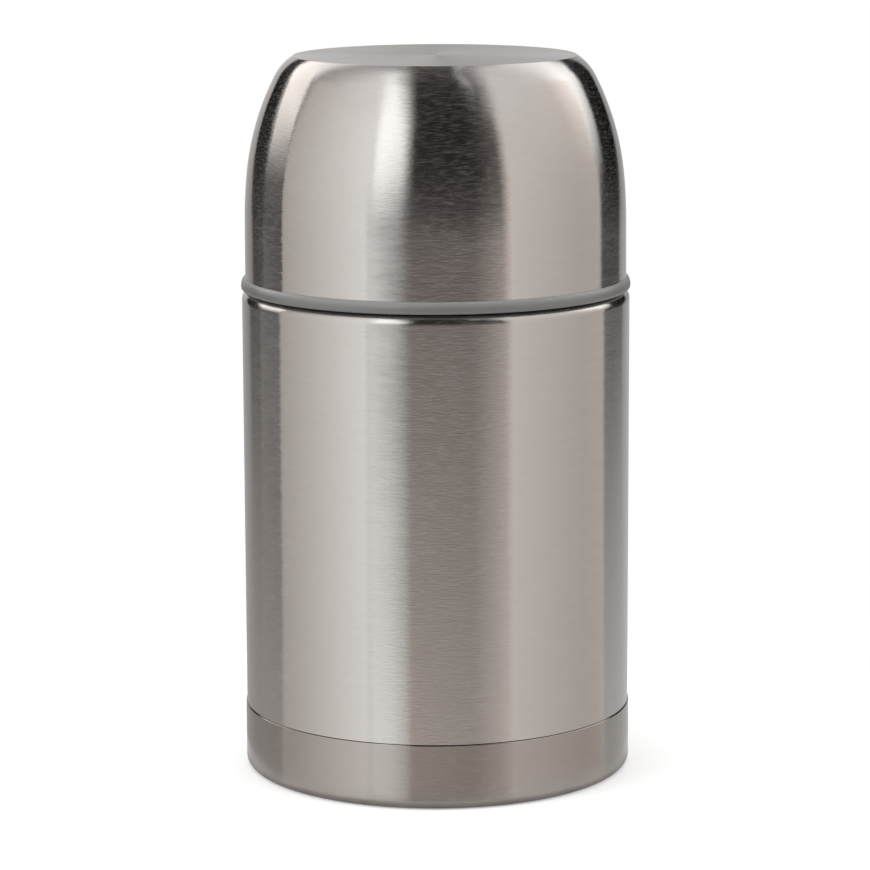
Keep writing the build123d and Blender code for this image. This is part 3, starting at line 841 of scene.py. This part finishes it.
# %% Tints of the light
PALE = ((1, 0.945, 0.9), (1, 1.01, 1.0))
CLEAR = ((1, 1.02, 1.04), (1, 1.01, 1.0))
WARM = ((1, 0.965, 0.94), (1, 0.925, 0.86))
BROWN = ((1, 0.9, 0.85), (1, 0.92, 0.88))
TAN = ((1, 0.965, 0.94), (1, 0.965, 0.94))
GREY = ((1, 0.97, 0.97), (1, 0.98, 0.98))
NEUTRAL = ((1, 1.0, 0.99), (1, 1.0, 0.99))
print("seven tints")

# %% [markdown]
# In front stands the dark flag that splits the jar into a left and a right half. It is darkest
# above and pales towards the floor. Beside it, on the left, is the bright strip, with the wide
# panels further out.

# %% Cards in front
studio_card("front flag", [
    [(-24, -40, 1.4), (21, -40, 0.9), (41.5, -40, 0.5)],
    [(-20, -15, 0.48), (21.5, -15, 0.45), (41, -15, 0.8)],
    [(-18, -7, 0.07), (22, -4, 0.04), (40.5, 0, 0.13)],
    [(-15, 12, 0.03), (25.5, 6, 0.03), (40.7, 9, 0.15)],
    [(-15, 46, 0.02), (18, 46, 0.01), (41.5, 46, 0.04)],
], BROWN)
studio_card("front flag's edge", [
    [(41.4, -28, 0.95), (47, -28, 0.72)],
    [(40.4, 0, 0.3), (46.5, 1, 0.95)],
    [(41.4, 46, 0.12), (46, 46, 0.95)],
], BROWN)
studio_card("strip light", [
    [(-40.8, -24, 0.85), (-38, -24, 1.3), (-25, -24, 1.7), (-16, -24, 1.4)],
    [(-41, -6, 0.75), (-38.5, -6, 0.78), (-33, -5, 0.3), (-18.5, -8, 0.02)],
    [(-41, -1, 0.6), (-38, -1, 0.52), (-29.5, -2, 0.1), (-15.5, -3, 0.02)],
    [(-39.5, 2, 1.0), (-34, 2, 1.25), (-21.5, 3, 0.85), (-14.5, 10, 0.1)],
    [(-37.7, 17, 1.55), (-32, 17, 1.6), (-20, 24, 1.35), (-15.5, 17, 0.05)],
    [(-42, 46, 1.35), (-40, 45, 1.8), (-26, 48, 1.8), (-12, 48, 0.02)],
], CLEAR, 4.9)
studio_card("left panel", [
    [(-110, -50, 0.36), (-40, -50, 0.95)],
    [(-110, 60, 0.68), (-40, 60, 1.18)],
], PALE, 5.1)
studio_card("right panel", [
    [(42, -50, 0.65), (97, -50, 0.46), (118, -50, 0.5)],
    [(46, 12, 0.82), (97, 4, 0.6), (120, 4, 0.6)],
    [(44, 31, 0.78), (98, 32, 0.84), (118, 27, 1.58)],
    [(44, 60, 0.85), (98, 60, 0.82), (118, 60, 1.3)],
], WARM, 5.1)
print("five cards in front")

# %% [markdown]
# At the far sides the steel mirrors things at a glancing angle: a slanting window high up on each
# side, a dark flag just under it, and the grey room behind. A pale field straight behind the jar
# shows only on the flat top of the cup.

# %% Cards at the sides and behind
studio_card("left wall", [
    [(-180, -50, 0.28), (-104.5, -50, 0.9)],
    [(-180, -28, 0.3), (-104.5, -28, 0.86)],
    [(-180, -8, 0.52), (-104.5, -6, 0.02)],
    [(-180, 3, 0.7), (-104, 3, 0.05)],
    [(-180, 62, 0.65), (-106, 58, 0.68)],
], TAN, 5.0)
studio_card("left window", [
    [(-126, -6, 0.02), (-104.5, -6, 0.02)],
    [(-125.5, 3, 0.16), (-104.5, 3, 0.12)],
    [(-125, 9, 0.95), (-105.5, 14, 0.6)],
    [(-137, 21, 1.65), (-107, 18, 1.25)],
    [(-160, 29.5, 1.8), (-110, 29.5, 1.25)],
    [(-172, 50, 1.1), (-138, 46.5, 1.7)],
], TAN, 4.8)
studio_card("left flag", [
    [(-142, -10, 0.08), (-127, -10, 0.08)],
    [(-148, 0, 0.01), (-124, 0, 0.05)],
    [(-156, 11.5, 0.01), (-129, 8.5, 0.02)],
    [(-168, 23, 0.02), (-142, 21, 0.06)],
    [(-166, 30, 0.03), (-150, 24, 0.06)],
], BROWN, 4.7)
studio_card("right wall", [
    [(118, -50, 1.2), (180, -50, 0.75)],
    [(118, -28, 0.95), (180, -28, 0.72)],
    [(118, -2, 0.05), (180, -4, 0.52)],
    [(118, 60, 0.28), (180, 62, 0.5)],
], distance=5.0)
studio_card("right window", [
    [(116, 3, 0.3), (122, -2, 0.12)],
    [(111.5, 9, 0.85), (126, 8, 0.5)],
    [(118, 18, 1.55), (134, 24, 1.2)],
    [(115.5, 29.5, 1.85), (152, 32, 1.15)],
    [(118, 46, 1.4), (162, 49, 1.1)],
], distance=4.8)
studio_card("right flag", [
    [(117, -10, 0.02), (144, -9, 0.05)],
    [(117, 0, 0.02), (151, 0, 0.0)],
    [(127, 10, 0.01), (158, 10, 0.0)],
    [(132.5, 21, 0.02), (164, 27, 0.01)],
    [(141, 30, 0.03), (168, 28, 0.04)],
], distance=4.7)
studio_card("back field", [
    [(172, -14, 0.62), (176, -14, 0.6), (180.3, -14, 0.4), (184, -14, 0.68), (188, -14, 0.7)],
    [(172, 9, 0.62), (176, 9, 0.6), (180.3, 9, 0.4), (184, 9, 0.68), (188, 9, 0.7)],
], distance=4.6)
print("seven cards at the sides and behind")

# %% [markdown]
# The curved shoulder of the cup mirrors the ceiling. The flag and the strip run on over the jar
# and narrow towards the back, between a grey ceiling on the left and a lit one on the right.

# %% Cards overhead
ceiling_card("ceiling flag", [
    [(-0.36, -1.2, 0.02), (0.74, -1.2, 0.03)],
    [(-0.2, -0.38, 0.05), (0.27, -0.46, 0.04)],
    [(-0.13, 0, 0.08), (0.13, 0, 0.07)],
    [(-0.12, 0.55, 0.1), (0.1, 0.57, 0.1)],
], BROWN)
ceiling_card("ceiling flag's edge", [
    [(0.74, -1.2, 0.03), (1.14, -1.17, 0.62)],
    [(0.29, -0.4, 0.04), (0.57, -0.41, 0.8)],
    [(0.14, 0, 0.08), (0.39, 0.1, 0.92)],
    [(0.14, 0.22, 0.13), (0.26, 0.38, 0.95)],
    [(0.14, 0.46, 0.12), (0.4, 0.58, 0.85)],
], GREY)
ceiling_card("ceiling strip", [
    [(-1.04, -1.2, 1.5), (-0.62, -1.2, 1.75), (-0.34, -1.2, 0.06)],
    [(-0.57, -0.4, 0.88), (-0.41, -0.32, 1.36), (-0.19, -0.43, 0.07)],
    [(-0.48, 0.02, 0.82), (-0.26, -0.04, 1.2), (-0.13, -0.02, 0.1)],
    [(-0.49, 0.38, 0.45), (-0.32, 0.34, 0.22), (-0.12, 0.35, 0.1)],
], CLEAR)
ceiling_card("ceiling left", [
    [(-1.3, -1.25, 0.98), (-0.9, -1.25, 1.02)],
    [(-1.3, -0.34, 0.82), (-0.54, -0.31, 1.04)],
    [(-1.3, 0.5, 0.4), (-0.08, 0.53, 0.37)],
    [(-1.3, 0.78, 1.65), (-0.25, 0.75, 0.9)],
    [(-1.3, 1.5, 1.6), (-0.2, 1.6, 1.5)],
], GREY)
ceiling_card("ceiling right", [
    [(1.05, -1.25, 0.75), (1.3, -1.25, 1.05)],
    [(0.5, -0.34, 0.85), (1.3, -0.32, 0.8)],
    [(0.23, 0.15, 0.77), (1.3, 0.26, 0.92)],
    [(0.3, 0.6, 0.95), (1.3, 0.76, 1.8)],
    [(0.2, 1.6, 1.6), (1.3, 1.6, 1.8)],
], NEUTRAL)
print("five cards overhead")

# %% [markdown]
# The foot's bend mirrors the floor close by, which lies in the jar's own shade. The card for it is
# dark in the middle, under the jar, and as bright as the floor at its rim.

# %% Card under the foot
def round_row(radius, level):
    """One row of corners led round the axis, at a radius given as a share of the card's depth."""
    return [(radius * cos(pi * side / 8), radius * sin(pi * side / 8), level) for side in range(17)]

SHADE_DEPTH = -0.101
shade_rows = [round_row(0, 0.03), round_row(0.44, 0.04), round_row(0.61, 0.8)]
ceiling_card("shade under the foot", shade_rows, height=SHADE_DEPTH)
print("one card below")

# %% [markdown]
# Cards light nothing but the steel. Three soft lamps give the floor its gentle shadow and light
# the plastic pieces.

# %% Soft lamps
LAMP_AIM = Vector((0, 0, 0.09))

def soft_lamp(name, place_at, size, power):
    data = bpy.data.lights.new(name, "AREA")
    data.shape = "DISK"
    data.size = size
    data.energy = power
    lamp = bpy.data.objects.new(name, data)
    lamp.location = place_at
    lamp.rotation_euler = (LAMP_AIM - Vector(place_at)).to_track_quat("-Z", "Y").to_euler()
    lamp.visible_glossy = False
    bpy.context.scene.collection.objects.link(lamp)

soft_lamp("left lamp", (-0.9, -0.5, 0.9), 0.8, 6)
soft_lamp("right lamp", (0.9, -0.4, 0.8), 0.8, 4)
soft_lamp("top lamp", (0.0, 0.1, 1.3), 0.9, 5)
print("three lamps")

# %% [markdown]
# ## Last things
# Colours are shown as they are written, with the Standard view.

# %% Set the view and finish
bpy.context.scene.view_settings.view_transform = "Standard"
